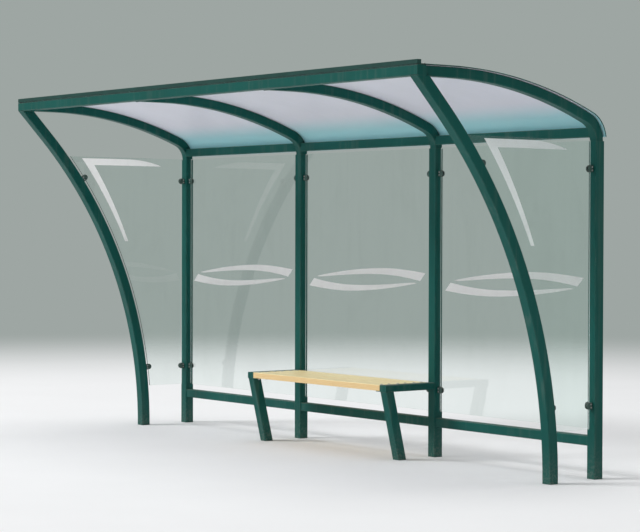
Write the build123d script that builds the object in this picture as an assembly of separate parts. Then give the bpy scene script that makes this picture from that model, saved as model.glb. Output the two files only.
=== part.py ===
from build123d import *
import math
import os

# Bus shelter: an open steel frame with glass panes, a bent roof and a bench.
# Millimetres, +X to the right, -Y to the street, +Z up, standing on Z = 0.

# Driving dimensions

# frame tubes: posts, legs and header depth, then ribs and cross tubes
tube = 70.0
cross_tube = 60.0
tube_wall = 3.0
tube_bevel = 4.0
end_plate = 5.0

# plan
bay = 1500.0
bays = 3
leg_forward = 394.0
leg_outset = 18.0
header_reach = 1480.0

# header and ribs
header_underside = 2400.0
rib_level = 200.0
rib_slope = 22.5
knee_radius = 150.0

# front legs
leg_upright = 20.0
leg_lean = 43.0

# rear beam and bottom rail
beam_depth = 40.0
beam_drop = 16.0
rail_top = 262.0

# roof skin
sheet = 6.0
sheet_joint = 5.0
cap_width = 60.0
cap_thickness = 5.0
cap_slope = 30.0
trim_depth = 30.0
trim_height = 24.0
trim_wall = 2.0

# glass
glass = 8.0
glass_side_gap = 20.0
glass_top_gap = 20.0
glass_sill_gap = 45.0
glass_corner = 8.0
clamp_thickness = 24.0
clamp_height = 40.0
clamp_grip = 25.0
clamp_above_glass_foot = 143.0
clamp_below_glass_top = 173.0

# bench
bench_tube = 65.0
seat_top = 500.0
seat_front = 455.0
seat_bay = 1
arm_height = 45.0
bench_foot_forward = 310.0
bench_knee_setback = 37.0
board_thickness = 40.0
board_gap = 6.0
board_count = 3
board_edge = 5.0
board_end_gap = 2.0
ledge_width = 40.0

# Sizes that follow

half_tube = tube / 2
half_cross = cross_tube / 2
half_bench = bench_tube / 2
post_count = bays + 1
post_x = [(index - bays / 2) * bay for index in range(post_count)]
leg_x = bays * bay / 2 + leg_outset
half_length = leg_x + half_tube
header_back = header_reach - tube
header_middle = header_reach - half_tube

rib_height = header_underside + half_cross
rib_turn = math.radians(rib_slope)
rib_run = header_back - rib_level - knee_radius * (1 - math.sin(rib_turn))
rib_radius = rib_run / math.sin(rib_turn)
knee_turn = 90.0 - rib_slope
knee_top = rib_height - rib_radius * (1 - math.cos(rib_turn))
post_top = knee_top - knee_radius * math.cos(rib_turn)
knee_corner = post_top + knee_radius * math.tan(math.radians(knee_turn) / 2)

beam_top = knee_corner - beam_drop
beam_low = beam_top - cross_tube
skin = sheet + cap_thickness
skin_stop = math.asin((beam_low - post_top) / (knee_radius + half_cross))
skin_rear = (knee_radius + half_cross + skin) * math.cos(skin_stop) - knee_radius
rear_line = (header_reach - skin_rear) / 2

lean = math.radians(leg_lean)
leg_rise = header_underside - leg_upright
leg_run = header_reach - half_tube / math.cos(lean) - leg_forward
leg_radius = (leg_rise * math.sin(lean) - leg_run * math.cos(lean)) / (1 - math.cos(lean))
leg_straight = (leg_run * math.sin(lean) - leg_rise * (1 - math.cos(lean))) / (1 - math.cos(lean))


# Shared shapes

def side_view(x):
    """Drawing plane seen from the side: first axis to the rear, second up."""
    return Plane(origin=(x, rear_line, 0), x_dir=(0, 1, 0), z_dir=(1, 0, 0))


def block(x_low, x_high, y_low, y_high, z_low, z_high):
    """Solid box between limits, with Y counted from the line of the rear posts."""
    size_x = x_high - x_low
    size_y = y_high - y_low
    size_z = z_high - z_low
    middle_y = rear_line + (y_low + y_high) / 2
    middle = ((x_low + x_high) / 2, middle_y, (z_low + z_high) / 2)
    return Pos(*middle) * Box(size_x, size_y, size_z)


def bevelled(width, depth):
    """Outline of a box section with its corners taken off."""
    outline = Rectangle(width, depth)
    return chamfer(outline.vertices(), tube_bevel)


def swept(path, outline, lift=0.0):
    """Sweep an outline along a path; lift moves it off the path, outwards."""
    start = Plane(origin=path @ 0, x_dir=(1, 0, 0), z_dir=path % 0)
    return sweep(start * (Pos(0, -lift, 0) * outline), path=path)


def straight_tube(length, width, depth, plate_start=0.0, plate_end=0.0):
    """Box section along +Z from zero, closed where a plate thickness is given."""
    outer = extrude(bevelled(width, depth), length)
    bore_length = length - plate_start - plate_end
    bore_width = width - 2 * tube_wall
    bore_depth = depth - 2 * tube_wall
    bore = Pos(0, 0, plate_start) * extrude(Rectangle(bore_width, bore_depth), bore_length)
    return outer - bore


def along_x(shape, x, y, z):
    """Lay a section made along +Z down along +X, starting at the point."""
    lie = Plane(origin=(x, rear_line + y, z), x_dir=(0, 1, 0), z_dir=(1, 0, 0))
    return lie * shape


# Centre lines

def roof_line(start_forward, stop=0.0):
    """Centre line of a rib: level, a wide bend, then the knee, stopped short by an angle."""
    bend_start = (-header_back + rib_level, rib_height)
    level = Line((-start_forward, rib_height), bend_start)
    bend = JernArc(bend_start, (1, 0), rib_radius, -rib_slope)
    knee = JernArc(bend @ 1, bend % 1, knee_radius, stop - knee_turn)
    return level + bend + knee


def leg_line(x):
    """Centre line of a front leg: upright, a wide bend to the street, then straight."""
    upright = Line((-leg_forward, 0), (-leg_forward, leg_upright))
    bend = JernArc((-leg_forward, leg_upright), (0, 1), leg_radius, leg_lean)
    top = bend @ 1
    length = leg_straight + tube
    end = (top.X - length * math.sin(lean), top.Y + length * math.cos(lean))
    return side_view(x) * (upright + bend + Line(top, end))


# Posts, ribs and front legs

def rear_post(x):
    """Upright box section, closed at the foot and under the rib."""
    post = straight_tube(post_top, tube, tube, end_plate, tube_wall)
    return Pos(x, rear_line, 0) * post


def roof_rib(x):
    """Box section bent over the roof, from the back of the header to a rear post."""
    path = side_view(x) * roof_line(header_back)
    bore = cross_tube - 2 * tube_wall
    return swept(path, bevelled(cross_tube, cross_tube)) - swept(path, Rectangle(bore, bore))


def leg_bar(x):
    """Solid bent bar on the centre line of a front leg, longer than the leg."""
    return swept(leg_line(x), bevelled(tube, tube))


def front_leg(x):
    """Bent box section with a closed foot, cut level and closed under the header."""
    reach = -header_reach - tube
    window = block(x - tube, x + tube, reach, 0, 0, header_underside)
    hollow = block(x - tube, x + tube, reach, 0, end_plate, header_underside - tube_wall)
    bore = tube - 2 * tube_wall
    return (leg_bar(x) & window) - (swept(leg_line(x), Rectangle(bore, bore)) & hollow)


# Header, beam and rail

def roof_header():
    """Front box section over the whole length, with closed ends."""
    section = straight_tube(2 * half_length, tube, cross_tube, tube_wall, tube_wall)
    return along_x(section, -half_length, -header_middle, rib_height)


def rear_beam(x):
    """Closed box section between the knees of two ribs, tucked under the bent skin."""
    section = straight_tube(bay - cross_tube, beam_depth, cross_tube, tube_wall, tube_wall)
    knee_outer = knee_radius + half_cross
    beam_rear = math.sqrt(knee_outer ** 2 - (beam_top - post_top) ** 2) - knee_radius
    beam_middle = beam_rear - beam_depth / 2 - sheet_joint
    return along_x(section, x + half_cross, beam_middle, beam_low + half_cross)


def bottom_rail(x):
    """Box section between two rear posts near the ground."""
    section = straight_tube(bay - tube, cross_tube, cross_tube)
    return along_x(section, x + half_tube, 0, rail_top - half_cross)


# Roof skin

def roof_sheet(index):
    """Clear sheet over one bay, bent over the ribs and down to the foot of the beam."""
    first = index == 0
    last = index == bays - 1
    low = -half_length if first else post_x[index] + sheet_joint / 2
    high = half_length if last else post_x[index + 1] - sheet_joint / 2
    path = side_view((low + high) / 2) * roof_line(header_reach, math.degrees(skin_stop))
    return swept(path, Rectangle(high - low, sheet), lift=half_cross + sheet / 2)


def roof_cap(x):
    """Strip with sloped edges that holds the sheets down on one rib."""
    path = side_view(x) * roof_line(header_reach - trim_depth, math.degrees(skin_stop))
    outline = Rot(0, 0, 180) * Trapezoid(cap_width, cap_thickness, cap_slope)
    return swept(path, outline, lift=half_cross + sheet + cap_thickness / 2)


def roof_front_trim():
    """Thin box trim along the front edge of the sheets."""
    low = header_underside + cross_tube + sheet
    high = low + trim_height
    outer = block(-half_length, half_length, -header_reach, -header_reach + trim_depth, low, high)
    inner = block(
        -half_length + trim_wall,
        half_length - trim_wall,
        -header_reach + trim_wall,
        -header_reach + trim_depth - trim_wall,
        low + trim_wall,
        high - trim_wall,
    )
    return outer - inner


# Glass and clamps

glass_low = rail_top + glass_sill_gap
glass_high = beam_low - glass_top_gap
clamp_low = glass_low + clamp_above_glass_foot
clamp_high = glass_high - clamp_below_glass_top


def rear_glass(x):
    """Upright pane between two rear posts."""
    width = bay - tube - 2 * glass_side_gap
    height = glass_high - glass_low
    pane = extrude(RectangleRounded(width, height, glass_corner), glass / 2, both=True)
    upright = Plane(
        origin=(x + bay / 2, rear_line, (glass_low + glass_high) / 2),
        x_dir=(1, 0, 0),
        z_dir=(0, -1, 0),
    )
    return upright * pane


def leg_edge(height, distance):
    """Point behind the bent leg, at a height and a distance from its centre line."""
    radius = leg_radius + distance
    turn = math.asin((height - leg_upright) / radius)
    return (-leg_forward - leg_radius + radius * math.cos(turn), height)


def side_glass(x):
    """Upright pane between a front leg and a rear post, curved along the leg."""
    back = -half_tube - glass_side_gap
    distance = half_tube + glass_side_gap
    low_front = leg_edge(glass_low, distance)
    middle_front = leg_edge((glass_low + glass_high) / 2, distance)
    high_front = leg_edge(glass_high, distance)
    outline = Line((back, glass_low), (back, glass_high))
    outline += Line((back, glass_high), high_front)
    outline += ThreePointArc(high_front, middle_front, low_front)
    outline += Line(low_front, (back, glass_low))
    return side_view(x) * extrude(make_face(outline), glass / 2, both=True)


def clamp_body(plane):
    """Clamp with a round nose; the plane's first axis points from frame to glass."""
    reach = glass_side_gap + clamp_grip
    nose = clamp_height / 2
    shank = Pos((reach - nose - tube_wall) / 2, 0) * Rectangle(reach - nose + tube_wall, clamp_height)
    outline = shank + Pos(reach - nose, 0) * Circle(nose)
    return plane * extrude(outline, clamp_thickness / 2, both=True)


def rear_clamps(x):
    """Four clamps of a rear pane, two on each post."""
    pane = rear_glass(x)
    clamps = []
    for height in (clamp_low, clamp_high):
        for post, side in ((x, 1), (x + bay, -1)):
            spot = (post + side * half_tube, rear_line, height)
            body = clamp_body(Plane(origin=spot, x_dir=(side, 0, 0), z_dir=(0, -1, 0)))
            clamps.append(body - rear_post(post) - pane)
    return Compound(children=clamps)


def side_clamps(x):
    """Four clamps of a side pane, two on the post and two square to the leg."""
    pane = side_glass(x)
    leg = leg_bar(math.copysign(leg_x, x))
    clamps = []
    for height in (clamp_low, clamp_high):
        spot = (x, rear_line - half_tube, height)
        body = clamp_body(Plane(origin=spot, x_dir=(0, -1, 0), z_dir=(1, 0, 0)))
        clamps.append(body - rear_post(x) - pane)
        forward, up = leg_edge(height, half_tube)
        turn = math.asin((height - leg_upright) / (leg_radius + half_tube))
        square = (0, math.cos(turn), math.sin(turn))
        spot = (x, rear_line + forward, up)
        body = clamp_body(Plane(origin=spot, x_dir=square, z_dir=(1, 0, 0)))
        clamps.append(body - leg - pane)
    return Compound(children=clamps)


# Bench

seat_low = seat_top - board_thickness
arm_underside = seat_top - arm_height


def bench_arm(x):
    """Level box section from a rear post to the front of the seat."""
    length = seat_front - half_tube
    section = straight_tube(length, bench_tube, arm_height, plate_end=tube_wall)
    lie = Plane(
        origin=(x, rear_line - half_tube, seat_top - arm_height / 2),
        x_dir=(1, 0, 0),
        z_dir=(0, -1, 0),
    )
    return lie * section


def bench_leg(x):
    """Leaning box section under the front of an arm, cut level at both ends."""
    knee_forward = seat_front - bench_knee_setback
    slope = math.atan2(knee_forward - bench_foot_forward, arm_underside)
    drop = (bench_tube * math.sin(slope), bench_tube * math.cos(slope))
    toe = (-bench_foot_forward + drop[0], -drop[1])
    top = (-knee_forward - drop[0], arm_underside + drop[1])
    path = side_view(x) * Line(toe, top)
    reach = -seat_front - bench_tube
    window = block(x - bench_tube, x + bench_tube, reach, 0, 0, arm_underside)
    hollow = block(x - bench_tube, x + bench_tube, reach, 0, end_plate, arm_underside)
    bore = bench_tube - 2 * tube_wall
    outer = swept(path, bevelled(bench_tube, bench_tube)) & window
    return outer - (swept(path, Rectangle(bore, bore)) & hollow)


def bench_ledge(x, inward):
    """Flat bar along the inner side of an arm, under the ends of the boards."""
    near = x + inward * half_bench
    far = near + inward * ledge_width
    limits = (-seat_front, -half_tube, arm_underside, seat_low)
    return block(min(near, far), max(near, far), *limits)


def bench_board(index):
    """One seat board between the two arms, with softened long edges."""
    depth = seat_front - half_tube
    width = (depth - board_gap * board_count) / board_count
    low = -seat_front + index * (width + board_gap)
    left = post_x[seat_bay] + half_bench + board_end_gap
    right = post_x[seat_bay + 1] - half_bench - board_end_gap
    board = block(left, right, low, low + width, seat_low, seat_top)
    return fillet(board.edges().filter_by(Axis.X).group_by(Axis.Z)[-1], board_edge)


# Named pieces

pieces = {}
for index, x in enumerate(post_x, start=1):
    pieces[f"rear_post_{index}"] = rear_post(x)
    pieces[f"roof_rib_{index}"] = roof_rib(x)
    pieces[f"roof_cap_{index}"] = roof_cap(x)
for index in range(bays):
    left_post = post_x[index]
    pieces[f"rear_beam_{index + 1}"] = rear_beam(left_post)
    pieces[f"bottom_rail_{index + 1}"] = bottom_rail(left_post)
    pieces[f"roof_sheet_{index + 1}"] = roof_sheet(index)
    pieces[f"rear_glass_{index + 1}"] = rear_glass(left_post)
    pieces[f"rear_clamps_{index + 1}"] = rear_clamps(left_post)
for side, x in (("left", post_x[0]), ("right", post_x[-1])):
    pieces[f"front_leg_{side}"] = front_leg(math.copysign(leg_x, x))
    pieces[f"side_glass_{side}"] = side_glass(x)
    pieces[f"side_clamps_{side}"] = side_clamps(x)
pieces["roof_header"] = roof_header()
pieces["roof_front_trim"] = roof_front_trim()
for side, post, inward in (("left", seat_bay, 1), ("right", seat_bay + 1, -1)):
    pieces[f"bench_arm_{side}"] = bench_arm(post_x[post])
    pieces[f"bench_leg_{side}"] = bench_leg(post_x[post])
    pieces[f"bench_ledge_{side}"] = bench_ledge(post_x[post], inward)
for index in range(board_count):
    pieces[f"bench_board_{index + 1}"] = bench_board(index)

os.makedirs("parts", exist_ok=True)
for name, shape in pieces.items():
    export_step(shape, f"parts/{name}.step")
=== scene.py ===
"""Bus shelter: paint, glass, timber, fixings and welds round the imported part, and a plain studio."""

import math

import bpy
import numpy as np
from bpy.props import FloatProperty, FloatVectorProperty, IntProperty, PointerProperty
from bpy.types import Operator, Panel, PropertyGroup
from mathutils import Matrix, Vector


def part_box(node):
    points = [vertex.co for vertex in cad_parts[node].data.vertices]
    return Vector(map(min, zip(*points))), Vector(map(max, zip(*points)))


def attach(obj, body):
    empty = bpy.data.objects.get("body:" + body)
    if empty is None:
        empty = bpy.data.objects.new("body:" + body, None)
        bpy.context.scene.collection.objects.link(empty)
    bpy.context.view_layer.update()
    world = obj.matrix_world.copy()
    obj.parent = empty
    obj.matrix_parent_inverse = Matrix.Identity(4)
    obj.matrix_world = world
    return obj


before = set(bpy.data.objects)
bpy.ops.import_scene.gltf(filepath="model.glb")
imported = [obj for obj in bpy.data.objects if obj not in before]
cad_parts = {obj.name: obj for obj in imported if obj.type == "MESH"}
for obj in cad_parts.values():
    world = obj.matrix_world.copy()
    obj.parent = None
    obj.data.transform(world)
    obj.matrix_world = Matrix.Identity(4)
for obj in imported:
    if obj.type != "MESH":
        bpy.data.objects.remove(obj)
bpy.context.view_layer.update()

bl_info = {
    "name": "Bus shelter finish",
    "version": (1, 0, 0),
    "blender": (4, 5, 0),
    "location": "View3D > Sidebar > Shelter",
    "description": "Finishes, glass markings, fixings and welds for a bus shelter",
    "category": "Object",
}


# Where things are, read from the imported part

def corners(node):
    """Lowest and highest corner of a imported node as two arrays."""
    low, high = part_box(node)
    return np.array(low), np.array(high)


def numbered(stem, count):
    """Names of a row of like nodes."""
    return [f"{stem}_{index}" for index in range(1, count + 1)]


def sided(stem):
    """Names of a left and a right node."""
    return [f"{stem}_{side}" for side in SIDES]


BAYS = 3
POSTS = BAYS + 1
BOARDS = 3
SIDES = ("left", "right")
post_low, post_high = corners("rear_post_1")
header_low, header_high = corners("roof_header")
rail_low, rail_high = corners("bottom_rail_1")
beam_low, beam_high = corners("rear_beam_1")
pane_low, pane_high = corners("rear_glass_1")
clamps_low, clamps_high = corners("rear_clamps_1")
arm_low, arm_high = corners("bench_arm_left")
board_low = corners("bench_board_1")[0]
ledge_low = corners("bench_ledge_left")[0]

TUBE = post_high[0] - post_low[0]
HALF = TUBE / 2
CROSS = rail_high[2] - rail_low[2]
HALF_CROSS = CROSS / 2
HALF_BENCH = (arm_high[0] - arm_low[0]) / 2
REAR = (post_low[1] + post_high[1]) / 2
POST_X = [float(sum(corners(name))[0] / 2) for name in numbered("rear_post", POSTS)]
LEG_X = float(sum(corners("front_leg_right"))[0] / 2)
GLASS = pane_high[1] - pane_low[1]
PANE_GAP = pane_low[0] - post_high[0]
BOARD_PITCH = float(corners("bench_board_2")[0][1] - board_low[1])
CLAMP_HEIGHT = 0.040
CLAMP_THICK = clamps_high[1] - clamps_low[1]
CLAMP_REACH = 0.045
CLAMP_LEVELS = (clamps_low[2] + CLAMP_HEIGHT / 2, clamps_high[2] - CLAMP_HEIGHT / 2)

# the roof's side view, as runs of a length and a bend each
HEADER_REACH = REAR - header_low[1]
HEADER_BACK = REAR - header_high[1]
HEADER_UNDER = header_low[2]
RIB_HEIGHT = HEADER_UNDER + HALF_CROSS
RIB_LEVEL = 0.200
RIB_SLOPE = math.radians(22.5)
KNEE_RADIUS = 0.150
RIB_RUN = HEADER_BACK - RIB_LEVEL - KNEE_RADIUS * (1 - math.sin(RIB_SLOPE))
RIB_RADIUS = RIB_RUN / math.sin(RIB_SLOPE)
SKIN_STOP = math.asin((beam_low[2] - post_high[2]) / (KNEE_RADIUS + HALF_CROSS))
ROOF_RUNS = (
    (HEADER_REACH - HEADER_BACK + RIB_LEVEL, 0),
    (RIB_RADIUS * RIB_SLOPE, 1 / RIB_RADIUS),
    (KNEE_RADIUS * (math.pi / 2 - RIB_SLOPE - SKIN_STOP), 1 / KNEE_RADIUS),
)
ROOF_STOPS = np.cumsum([0] + [length for length, bend in ROOF_RUNS])
SHEET = 0.006
CAP_THICK = 0.005

# the front legs' side view, whose bend brings their top front corner to the header's front
LEG_FORWARD = 0.394
LEG_UPRIGHT = 0.020
LEG_LEAN = math.radians(43.0)
LEG_RISE = HEADER_UNDER - LEG_UPRIGHT
LEG_RUN = HEADER_REACH - HALF / math.cos(LEG_LEAN) - LEG_FORWARD
LEG_RADIUS = (LEG_RISE * math.sin(LEG_LEAN) - LEG_RUN * math.cos(LEG_LEAN)) / (1 - math.cos(LEG_LEAN))


# Settings that a user would change

def paint_chart(red, green, blue):
    """Linear colour of a shade named by its 0 to 255 values."""
    share = np.array((red, green, blue)) / 255
    linear = np.where(share <= 0.04045, share / 12.92, ((share + 0.055) / 1.055) ** 2.4)
    return tuple(float(value) for value in linear)


def colour_prop(name, description, *shade):
    """Colour property, with its default from the paint chart."""
    default = paint_chart(*shade)
    return FloatVectorProperty(
        name=name, description=description, default=default, subtype="COLOR", size=3, min=0, max=1
    )


def length_prop(name, description, default):
    """Length property in metres."""
    return FloatProperty(
        name=name, description=description, default=default, unit="LENGTH", min=0, precision=4
    )


def share_prop(name, description, default):
    """Share between none and all."""
    return FloatProperty(
        name=name, description=description, default=default, subtype="FACTOR", min=0, max=1
    )


def power_prop(name, description, default):
    """Power of a lamp in watts."""
    return FloatProperty(name=name, description=description, default=default, min=0, unit="POWER")


class ShelterPaint(PropertyGroup):
    colour: colour_prop("Paint", "Green of the tubes", 6, 78, 71)
    shade: colour_prop("Weathered paint", "Green where the sun has dulled it", 14, 90, 83)
    primer: colour_prop("Primer", "Grey under a chip", 128, 134, 130)
    dust: colour_prop("Dust", "Dust and road splash", 150, 150, 138)
    edge_wear: share_prop("Edge wear", "How much the edges are rubbed", 0.40)
    dust_share: share_prop("Dust amount", "How much dust lies on the paint", 0.26)
    run_share: share_prop("Rain runs", "How strongly rain has streaked the paint", 0.12)
    skin: length_prop("Skin height", "Height of the sprayed coat's ripple", 0.00012)


class ShelterRoof(PropertyGroup):
    plastic: colour_prop("Roof plastic", "Tint of the clear sheets", 228, 229, 242)
    haze: colour_prop("Haze", "Clouded plastic", 208, 211, 220)
    # Painted teal light on the sheets' underside near the rear bend
    rear_teal_light: colour_prop("Rear tint", "Tint of the sheets at the rear bend", 176, 222, 230)
    web: colour_prop("Flutes", "Lines of the flutes inside the sheets", 150, 160, 170)
    grime: colour_prop("Grime", "Dust and stains on top", 168, 162, 146)
    tape: colour_prop("Edge tape", "Tape that closes the sheets' outer edges", 26, 62, 56)
    metal: colour_prop("Cap metal", "Coated metal of caps and front trim", 24, 66, 60)
    passes: share_prop("Light through the roof", "Share of the light that gets through a sheet", 0.45)
    # Heights between which the painted teal light fades in
    teal_light_top: length_prop("Rear tint's top", "Height at which the rear tint begins", 2.320)
    teal_light_full: length_prop("Rear tint's foot", "Height below which the rear tint is full", 2.200)
    flute: length_prop("Flute pitch", "Distance between flutes", 0.011)
    tape_width: length_prop("Tape width", "How far the tape reaches in from an edge", 0.003)
    screw_spacing: length_prop("Screw spacing", "Distance between cap screws", 0.270)
    first_screw: length_prop("First screw", "First cap screw's distance from the front", 0.100)
    knee_clear: length_prop("Clear of the knee", "Least distance from the last screw to the knee", 0.050)
    screw_radius: length_prop("Washer radius", "Radius of a cap screw's washer", 0.008)
    screw_across: length_prop("Screw width", "Width of a cap screw across its flats", 0.0076)
    lip: length_prop("Seal lip", "Width of the rubber lip beside a cap", 0.0045)
    lip_start: length_prop("Seal start", "Where the lips begin, behind the roof's front", 0.032)
    lip_short: length_prop("Seal end", "How far the lips stop short of the sheets' foot", 0.002)


class ShelterPanes(PropertyGroup):
    glass: colour_prop("Glass", "Tint of the panes", 245, 251, 249)
    wiped: colour_prop("Wipe marks", "Tint of smears, rain runs and dust", 206, 214, 208)
    edge: colour_prop("Glass edge", "Green of the cut edges", 96, 168, 146)
    frost: colour_prop("Frosting", "White of the safety stripes", 242, 246, 244)
    dulled: colour_prop("Dulled frosting", "Frosting that has clouded", 196, 206, 200)
    passes: share_prop("Light through a pane", "Share of the light that gets through the glass", 0.85)
    film: length_prop("Frosting thickness", "Thickness of the frosted stripes", 0.0003)
    stroke: length_prop("Stripe width", "Width of the slanting side stripe at its top", 0.056)
    thinning: share_prop("Stripe thinning", "Share of the slanting stripe's width lost at its foot", 0.55)
    arm_stroke: length_prop("Arm width", "Width of the level side stripe", 0.050)
    faded: share_prop("Faded side tips", "How much frosting is gone at the side stripes' tips", 0.35)
    inset_left: length_prop("Left inset", "Left stripe's distance behind the leg's middle", 0.127)
    inset_right: length_prop("Right inset", "Right stripe's distance behind the leg's middle", 0.160)
    top_margin: length_prop("Top margin", "Clear glass above the side stripe", 0.012)
    arm_bend: length_prop("Arm bend", "Where the arm starts to narrow, ahead of the posts", 0.560)
    arm_tip: length_prop("Arm tip", "Where the arm ends, ahead of the posts", 0.245)
    slant_foot: length_prop("Slant foot", "Height of the slanting stripe's lower tip", 1.430)
    eye_height: length_prop("Stripe height", "Middle of the rear stripes above ground", 1.175)
    eye_rise: length_prop("Stripe rise", "Half the height of the rear stripes", 0.083)
    eye_stroke: length_prop("Rear stripe width", "Widest part of a rear stripe", 0.054)
    eye_start: length_prop("Rear stripe start", "Upper stripe's distance from the pane's left edge", 0.145)
    eye_end: length_prop("Rear stripe end", "Upper stripe's distance from the pane's right edge", 0.075)
    eye_cut: length_prop("Rear stripe cut", "How far the cut at its end slants", 0.055)
    eye_faded: share_prop("Faded rear tips", "How much frosting is gone at the rear stripes' tips", 0.30)


class ShelterMetal(PropertyGroup):
    clamp: colour_prop("Clamp", "Coated cast clamps", 70, 92, 86)
    steel: colour_prop("Steel", "Stainless screws", 176, 178, 176)
    dust: colour_prop("Dust on metal", "Dust on caps, clamps and screws", 150, 148, 138)
    rubber: colour_prop("Rubber", "Clamp pads and seal lips", 34, 36, 36)
    bloom: colour_prop("Rubber bloom", "Grey bloom on old rubber", 88, 90, 88)
    grit: colour_prop("Grit on rubber", "Dust that sticks to rubber", 128, 124, 112)
    head_radius: length_prop("Screw head radius", "Radius of a clamp screw's head", 0.0055)
    head_height: length_prop("Screw head height", "Height of a clamp screw's head", 0.00341)
    screw_apart: length_prop("Clamp screws apart", "Distance between a clamp's two screws", 0.0192)
    screw_place: length_prop("Clamp screw place", "Screws' distance from the frame", PANE_GAP * 0.52)
    pad_lip: length_prop("Pad lip", "Radius of the rubber lip round a clamp", 0.0016)
    bead: length_prop("Weld bead", "Radius of a weld bead", 0.0034)
    bead_pitch: length_prop("Weld pitch", "Distance between ripples of a weld", 0.0055)
    bead_short: length_prop("Weld stop", "How far a bead stops short of a corner", 0.004)


class ShelterSeat(PropertyGroup):
    early: colour_prop("Early wood", "Pale part of a ring", 255, 243, 190)
    late: colour_prop("Late wood", "Dark part of a ring", 238, 204, 136)
    cast: colour_prop("Warm cast", "Warmer patches along a board", 250, 224, 162)
    side: colour_prop("Board sides", "Shaded and unbleached sides", 206, 146, 84)
    knot: colour_prop("Knots", "Dark wood of a knot", 112, 66, 34)
    grime: colour_prop("Grime", "Worn and weathered wood", 128, 98, 66)
    ring: length_prop("Ring spacing", "Distance between growth rings", 0.0062)
    pith: length_prop("Pith depth", "How far below a board the rings' centre lies", 0.030)
    bolt_radius: length_prop("Bolt head radius", "Radius of a cup head", 0.0105)
    bolt_height: length_prop("Bolt head height", "Height of a cup head", 0.00378)
    nut_across: length_prop("Nut width", "Width of a nut across its flats", 0.013125)
    bolt_inset: length_prop("Bolt inset", "Bolts' distance from a board's end", 0.022)
    bolt_side: share_prop("Bolt line", "Bolts' place across a board, from either edge", 0.26)


class ShelterStage(PropertyGroup):
    floor: colour_prop("Floor", "Pale studio floor", 240, 241, 242)
    backdrop: colour_prop("Backdrop", "Pale backdrop seen behind", 158, 166, 163)
    fill: FloatProperty(name="Fill light", description="Even light from all round", default=0.40, min=0)
    key_power: power_prop("Key light", "Power of the soft lamp on the street side", 8700)
    top_power: power_prop("Top light", "Power of the soft lamp overhead", 2250)
    seed: IntProperty(name="Pattern start", description="Shifts the floor's faint mottling", default=3)


GROUPS = {
    "shelter_paint": ShelterPaint,
    "shelter_roof": ShelterRoof,
    "shelter_panes": ShelterPanes,
    "shelter_metal": ShelterMetal,
    "shelter_seat": ShelterSeat,
    "shelter_stage": ShelterStage,
}


# Meshes from surfaces of two parameters

def grid_faces(rows, columns, round_columns=False):
    """Four-sided faces of a grid of points, joined end to end where its columns go round."""
    row = np.arange(rows - 1)[:, None]
    column = np.arange(columns if round_columns else columns - 1)[None, :]
    beside = (column + 1) % columns
    quads = (
        row * columns + column,
        row * columns + beside,
        (row + 1) * columns + beside,
        (row + 1) * columns + column,
    )
    return np.stack(quads, -1).reshape(-1, 4)


def full_turn(count):
    """Angles that go once round, without the last one that would meet the first."""
    return np.linspace(0, 2 * math.pi, count, endpoint=False)


def repeated(mesh, origins, turns):
    """Copies of one mesh: each point is its origin plus the point turned by that copy's axes."""
    points, faces = mesh
    placed = np.array(origins)[:, None] + np.einsum("kij,nj->kni", np.array(turns), points)
    shifts = range(0, len(origins) * len(points), len(points))
    return placed.reshape(-1, 3), [[corner + shift for corner in face] for shift in shifts for face in faces]


def closed_film(front, depth):
    """Thin closed sheet: a grid of points, the same grid moved by depth, and a rim between."""
    rows, columns = front.shape[:2]
    count = rows * columns
    points = np.concatenate([front.reshape(-1, 3), (front + depth).reshape(-1, 3)])
    top = grid_faces(rows, columns)
    index = np.arange(count).reshape(rows, columns)
    rim = np.concatenate([index[0, :-1], index[:-1, -1], index[-1, :0:-1], index[:0:-1, 0]])
    ahead = np.roll(rim, -1)
    sides = np.stack([ahead, rim, rim + count, ahead + count], -1)
    return points, np.concatenate([top, top[:, ::-1] + count, sides]).tolist()


def turned_head(rings, around):
    """Head of a screw: rings of (radius for each angle, height) from the foot to a centre point."""
    angle = full_turn(around)
    radius = np.stack([np.broadcast_to(ring, around) for ring, height in rings])
    height = np.array([height for ring, height in rings])[:, None] + 0 * radius
    points = np.stack([radius * np.cos(angle), radius * np.sin(angle), height], -1).reshape(-1, 3)
    points = np.concatenate([points, [[0, 0, rings[-1][1]]]])
    last = (len(rings) - 1) * around
    spot = np.arange(around)
    tip = np.stack([last + spot, last + (spot + 1) % around, np.full(around, len(points) - 1)], -1)
    return points, grid_faces(len(rings), around, round_columns=True).tolist() + tip.tolist()


def hexagon(across, around):
    """Radius of a six-sided outline at each angle: half its width over the cosine of the folded angle."""
    folded = (full_turn(around) + math.pi / 6) % (math.pi / 3) - math.pi / 6
    return across / 2 / np.cos(folded)


def button_head(radius, height, socket=0.9, skirt=0.2, around=36, rings=5):
    """Round screw head with a six-sided socket.

    The dome's height falls with the square of the distance from its middle, and it
    stands on a short skirt. The socket goes straight down and in to the centre.
    """
    key = hexagon(radius * socket, around)
    foot = height * skirt
    share = np.linspace(1, 0, rings)
    dome = [(key + part * (radius - key), foot + (height - foot) * (1 - part ** 2)) for part in share]
    well = [(key * 0.97, height - foot * 0.4), (key * 0.95, foot * 0.6)]
    return turned_head([(radius, -foot)] + dome + well, around)


def cup_head(radius, height, sunk=0.2, around=28, rings=7):
    """Smooth round head: its height is the full height times the sine of a quarter turn."""
    turn = np.linspace(0, 0.98, rings) * math.pi / 2
    dome = [(radius * math.cos(angle), height * math.sin(angle)) for angle in turn]
    return turned_head([(radius, -height * sunk)] + dome, around)


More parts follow.
